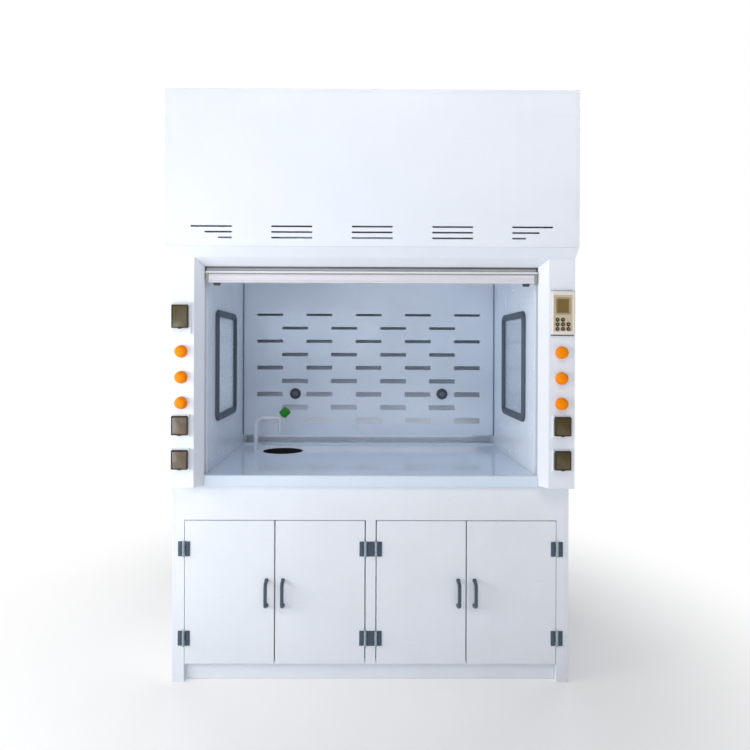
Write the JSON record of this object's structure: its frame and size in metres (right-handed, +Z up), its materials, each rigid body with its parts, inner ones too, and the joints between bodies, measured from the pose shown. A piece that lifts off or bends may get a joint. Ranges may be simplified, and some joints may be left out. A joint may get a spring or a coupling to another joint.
{
  "type": "fume hood",
  "caption": "White polypropylene bench fume hood: louvred sash housing, open chamber with slotted baffle, sink and tap, control columns, and a hinged-door base cabinet.",
  "frame": {"origin": "on the floor, under the middle of the hood's bounding box", "axes": "+X to the right seen from the front, -Y to the front (the sash side), +Z up"},
  "size_m": [1.5, 0.85, 2.262],
  "materials": {
    "shell_white": "satin welded polypropylene sheet",
    "cabinet_white": "satin welded polypropylene sheet",
    "chamber_white": "glossy polypropylene sheet",
    "worktop_white": "polished acid-resistant slab",
    "sink_black": "moulded black polypropylene",
    "gasket_grey": "dark grey moulded gasket",
    "clear_glass": "clear toughened glass",
    "lamp_white": "opal diffuser",
    "duct_grey": "extruded duct",
    "track_aluminium": "anodised extrusion",
    "rail_white": "powder-coated extrusion",
    "cable_steel": "plain steel",
    "weight_iron": "painted iron bar",
    "pulley_nylon": "turned nylon",
    "device_white": "moulded frame",
    "device_dark": "moulded insert",
    "cover_smoke": "smoked clear cover",
    "controller_silver": "beige-silver moulding",
    "controller_tan": "tan membrane panel",
    "key_dark": "dark round key",
    "knob_orange": "orange moulded knob",
    "nozzle_grey": "dark grey polypropylene",
    "tap_white": "white coated tube",
    "lever_green": "green moulded lever",
    "hinge_slate": "slate grey moulded plastic"
  },
  "bodies": {
    "hood": {"hood_shell": "shell_white", "upper_front_panel": "shell_white", "soffit_panel": "shell_white", "front_columns": "shell_white", "cabinet_carcass": "cabinet_white", "cabinet_front_frame": "cabinet_white", "chamber_liner": "chamber_white", "baffle": "chamber_white", "worktop": "worktop_white", "cup_sink": "sink_black", "window_gaskets": "gasket_grey", "window_panes": "clear_glass", "chamber_lamp": "lamp_white", "exhaust_duct": "duct_grey", "sash_tracks": "track_aluminium", "lift_cables": "cable_steel", "hinge_pins": "cable_steel", "device_frames": "device_white", "device_inserts": "device_dark", "controller_housing": "controller_silver", "controller_face": "controller_tan", "gas_nozzles": "nozzle_grey", "tap_base": "tap_white", "hinge_frame_leaves": "hinge_slate"},
    "sash_lower": {"sash_lower_glass": "clear_glass", "sash_lower_rail": "rail_white"},
    "sash_upper": {"sash_upper": "clear_glass"},
    "counterweights": {"counterweights": "weight_iron"},
    "pulley_left": {"pulley_left": "pulley_nylon"},
    "pulley_right": {"pulley_right": "pulley_nylon"},
    "breaker_toggle": {"breaker_toggle": "device_dark"},
    "tap_spout": {"tap_spout": "tap_white"},
    "tap_lever": {"tap_lever": "lever_green"},
    "door_1": {"door_1": "cabinet_white", "door_1_hardware": "hinge_slate"},
    "door_2": {"door_2": "cabinet_white", "door_2_hardware": "hinge_slate"},
    "door_3": {"door_3": "cabinet_white", "door_3_hardware": "hinge_slate"},
    "door_4": {"door_4": "cabinet_white", "door_4_hardware": "hinge_slate"},
    "valve_knob_left_1": {"valve_knob_left_1": "knob_orange"},
    "valve_knob_left_2": {"valve_knob_left_2": "knob_orange"},
    "valve_knob_left_3": {"valve_knob_left_3": "knob_orange"},
    "valve_knob_right_1": {"valve_knob_right_1": "knob_orange"},
    "valve_knob_right_2": {"valve_knob_right_2": "knob_orange"},
    "valve_knob_right_3": {"valve_knob_right_3": "knob_orange"},
    "socket_cover_left_upper": {"socket_cover_left_upper": "cover_smoke"},
    "socket_cover_left_lower": {"socket_cover_left_lower": "cover_smoke"},
    "socket_cover_right_upper": {"socket_cover_right_upper": "cover_smoke"},
    "socket_cover_right_lower": {"socket_cover_right_lower": "cover_smoke"},
    "breaker_cover": {"breaker_cover": "cover_smoke"},
    "key_1": {"key_1": "key_dark"},
    "key_2": {"key_2": "key_dark"},
    "key_3": {"key_3": "key_dark"},
    "key_4": {"key_4": "key_dark"},
    "key_5": {"key_5": "key_dark"},
    "key_6": {"key_6": "key_dark"},
    "key_7": {"key_7": "key_dark"},
    "key_8": {"key_8": "key_dark"}
  },
  "joints": [
    {"name": "sash_lift", "type": "slide", "parent": "hood", "child": "sash_lower", "axis": [0, 0, 1], "range_m": [-0.711, 0], "deforming": ["lift_cables"]},
    {"name": "sash_upper_lift", "type": "slide", "parent": "hood", "child": "sash_upper", "axis": [0, 0, 1], "range_m": [-0.356, 0]},
    {"name": "counterweight_lift", "type": "slide", "parent": "hood", "child": "counterweights", "axis": [0, 0, 1], "range_m": [0, 0.712]},
    {"name": "pulley_left_spin", "type": "hinge", "parent": "hood", "child": "pulley_left", "pos_m": [-0.646, -0.33, 2.09], "axis": [0, 1, 0], "range_deg": [0, 927]},
    {"name": "pulley_right_spin", "type": "hinge", "parent": "hood", "child": "pulley_right", "pos_m": [0.646, -0.33, 2.09], "axis": [0, 1, 0], "range_deg": [-927, 0]},
    {"name": "door_1_hinge", "type": "hinge", "parent": "hood", "child": "door_1", "pos_m": [-0.706, -0.338, 0.339], "axis": [0, 0, -1], "range_deg": [0, 110]},
    {"name": "door_2_hinge", "type": "hinge", "parent": "hood", "child": "door_2", "pos_m": [-0.02, -0.338, 0.339], "axis": [0, 0, 1], "range_deg": [0, 87]},
    {"name": "door_3_hinge", "type": "hinge", "parent": "hood", "child": "door_3", "pos_m": [0.02, -0.338, 0.339], "axis": [0, 0, -1], "range_deg": [0, 87]},
    {"name": "door_4_hinge", "type": "hinge", "parent": "hood", "child": "door_4", "pos_m": [0.706, -0.338, 0.339], "axis": [0, 0, 1], "range_deg": [0, 110]},
    {"name": "valve_knob_left_1_turn", "type": "hinge", "parent": "hood", "child": "valve_knob_left_1", "pos_m": [-0.7005, -0.387, 1.2505], "axis": [0, -1, 0], "range_deg": [0, 270]},
    {"name": "valve_knob_left_2_turn", "type": "hinge", "parent": "hood", "child": "valve_knob_left_2", "pos_m": [-0.7005, -0.387, 1.1555], "axis": [0, -1, 0], "range_deg": [0, 270]},
    {"name": "valve_knob_left_3_turn", "type": "hinge", "parent": "hood", "child": "valve_knob_left_3", "pos_m": [-0.7005, -0.387, 1.0615], "axis": [0, -1, 0], "range_deg": [0, 270]},
    {"name": "valve_knob_right_1_turn", "type": "hinge", "parent": "hood", "child": "valve_knob_right_1", "pos_m": [0.7005, -0.387, 1.2505], "axis": [0, -1, 0], "range_deg": [0, 270]},
    {"name": "valve_knob_right_2_turn", "type": "hinge", "parent": "hood", "child": "valve_knob_right_2", "pos_m": [0.7005, -0.387, 1.1555], "axis": [0, -1, 0], "range_deg": [0, 270]},
    {"name": "valve_knob_right_3_turn", "type": "hinge", "parent": "hood", "child": "valve_knob_right_3", "pos_m": [0.7005, -0.387, 1.0615], "axis": [0, -1, 0], "range_deg": [0, 270]},
    {"name": "socket_cover_left_upper_flip", "type": "hinge", "parent": "hood", "child": "socket_cover_left_upper", "pos_m": [-0.701, -0.3986, 1.012], "axis": [-1, 0, 0], "range_deg": [0, 100]},
    {"name": "socket_cover_left_lower_flip", "type": "hinge", "parent": "hood", "child": "socket_cover_left_lower", "pos_m": [-0.701, -0.3986, 0.887], "axis": [-1, 0, 0], "range_deg": [0, 100]},
    {"name": "socket_cover_right_upper_flip", "type": "hinge", "parent": "hood", "child": "socket_cover_right_upper", "pos_m": [0.701, -0.3986, 1.012], "axis": [-1, 0, 0], "range_deg": [0, 100]},
    {"name": "socket_cover_right_lower_flip", "type": "hinge", "parent": "hood", "child": "socket_cover_right_lower", "pos_m": [0.701, -0.3986, 0.887], "axis": [-1, 0, 0], "range_deg": [0, 100]},
    {"name": "breaker_cover_flip", "type": "hinge", "parent": "hood", "child": "breaker_cover", "pos_m": [-0.701, -0.3986, 1.419], "axis": [-1, 0, 0], "range_deg": [0, 100]},
    {"name": "breaker_toggle_flip", "type": "hinge", "parent": "hood", "child": "breaker_toggle", "pos_m": [-0.701, -0.39, 1.3775], "axis": [-1, 0, 0], "range_deg": [0, 30]},
    {"name": "tap_spout_swivel", "type": "hinge", "parent": "hood", "child": "tap_spout", "pos_m": [-0.532, 0.16, 0.8], "axis": [0, 0, 1], "range_deg": [-90, 55]},
    {"name": "tap_lever_turn", "type": "hinge", "parent": "tap_spout", "child": "tap_lever", "pos_m": [-0.39908, 0.16, 0.95774], "axis": [0.6947, 0, 0.7193], "range_deg": [0, 90]},
    {"name": "key_1_press", "type": "slide", "parent": "hood", "child": "key_1", "axis": [0, 1, 0], "range_m": [0, 0.001], "stiffness_N_per_m": 400},
    {"name": "key_2_press", "type": "slide", "parent": "hood", "child": "key_2", "axis": [0, 1, 0], "range_m": [0, 0.001], "stiffness_N_per_m": 400},
    {"name": "key_3_press", "type": "slide", "parent": "hood", "child": "key_3", "axis": [0, 1, 0], "range_m": [0, 0.001], "stiffness_N_per_m": 400},
    {"name": "key_4_press", "type": "slide", "parent": "hood", "child": "key_4", "axis": [0, 1, 0], "range_m": [0, 0.001], "stiffness_N_per_m": 400},
    {"name": "key_5_press", "type": "slide", "parent": "hood", "child": "key_5", "axis": [0, 1, 0], "range_m": [0, 0.001], "stiffness_N_per_m": 400},
    {"name": "key_6_press", "type": "slide", "parent": "hood", "child": "key_6", "axis": [0, 1, 0], "range_m": [0, 0.001], "stiffness_N_per_m": 400},
    {"name": "key_7_press", "type": "slide", "parent": "hood", "child": "key_7", "axis": [0, 1, 0], "range_m": [0, 0.001], "stiffness_N_per_m": 400},
    {"name": "key_8_press", "type": "slide", "parent": "hood", "child": "key_8", "axis": [0, 1, 0], "range_m": [0, 0.001], "stiffness_N_per_m": 400}
  ],
  "couplings": [
    {"joint": "sash_upper_lift", "follows": "sash_lift", "ratio": 0.5},
    {"joint": "counterweight_lift", "follows": "sash_lift", "ratio": -1},
    {"joint": "pulley_left_spin", "follows": "sash_lift", "rad_per_m": -22.727},
    {"joint": "pulley_right_spin", "follows": "sash_lift", "rad_per_m": 22.727}
  ]
}
